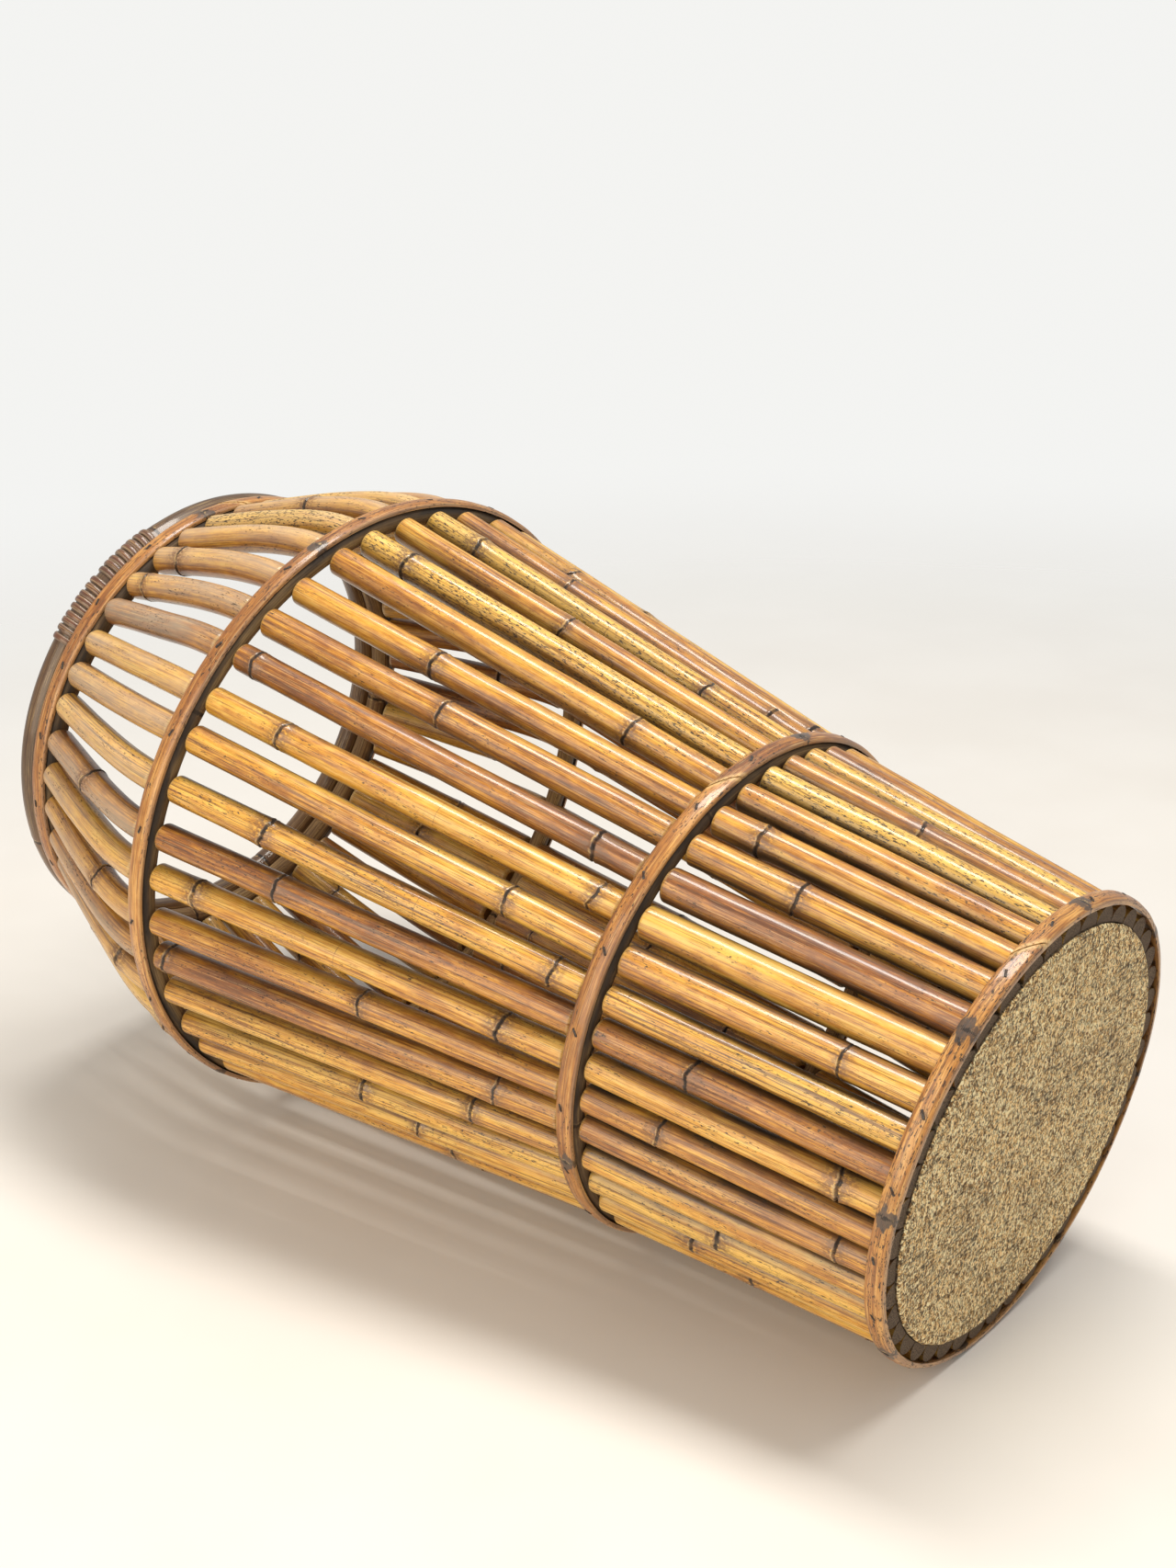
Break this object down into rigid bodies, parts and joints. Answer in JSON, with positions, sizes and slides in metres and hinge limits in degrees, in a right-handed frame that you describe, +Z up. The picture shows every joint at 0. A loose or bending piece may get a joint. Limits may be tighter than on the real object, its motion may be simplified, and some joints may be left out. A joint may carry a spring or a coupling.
{
  "type": "umbrella stand",
  "caption": "Vase-shaped open stand of rattan poles held by cane hoops on a round chipboard base, with a bent-in neck and a round mouth rod; holds umbrellas and walking sticks.",
  "frame": {"origin": "centre of the underside of the round base board, on the floor", "axes": "+Z up along the stand's own axis, from the base to the mouth; +X and +Y level, with the poles evenly spaced round Z"},
  "size_m": [0.313, 0.313, 0.5133],
  "materials": {
    "pole_cane": "varnished rattan pole, gloss worn in places",
    "ring_cane": "round cane ring, dull varnish",
    "hoop_cane": "varnished half-round cane",
    "mouth_rod": "dark varnished round cane",
    "binding_cane": "dark split cane, satin",
    "chipboard": "raw particle board, matt",
    "staple_steel": "darkened steel wire"
  },
  "bodies": {
    "root": {"base_board": "chipboard", "base_hoop": "hoop_cane", "base_hoop_staples": "staple_steel", "waist_ring": "ring_cane", "waist_hoop": "hoop_cane", "waist_hoop_staples": "staple_steel", "shoulder_ring": "ring_cane", "shoulder_hoop": "hoop_cane", "shoulder_hoop_staples": "staple_steel", "rim_ring": "ring_cane", "rim_hoop": "hoop_cane", "rim_hoop_staples": "staple_steel", "rim_rod": "mouth_rod", "rim_binding": "binding_cane", "pole_01": "pole_cane", "pole_02": "pole_cane", "pole_03": "pole_cane", "pole_04": "pole_cane", "pole_05": "pole_cane", "pole_06": "pole_cane", "pole_07": "pole_cane", "pole_08": "pole_cane", "pole_09": "pole_cane", "pole_10": "pole_cane", "pole_11": "pole_cane", "pole_12": "pole_cane", "pole_13": "pole_cane", "pole_14": "pole_cane", "pole_15": "pole_cane", "pole_16": "pole_cane", "pole_17": "pole_cane", "pole_18": "pole_cane", "pole_19": "pole_cane", "pole_20": "pole_cane", "pole_21": "pole_cane", "pole_22": "pole_cane", "pole_23": "pole_cane", "pole_24": "pole_cane", "pole_25": "pole_cane", "pole_26": "pole_cane", "pole_27": "pole_cane", "pole_28": "pole_cane", "pole_29": "pole_cane", "pole_30": "pole_cane", "pole_31": "pole_cane", "pole_32": "pole_cane", "pole_33": "pole_cane", "pole_34": "pole_cane", "pole_35": "pole_cane", "pole_36": "pole_cane", "pole_37": "pole_cane", "pole_38": "pole_cane", "pole_39": "pole_cane", "pole_40": "pole_cane", "pole_41": "pole_cane", "pole_42": "pole_cane"}
  },
  "joints": []
}
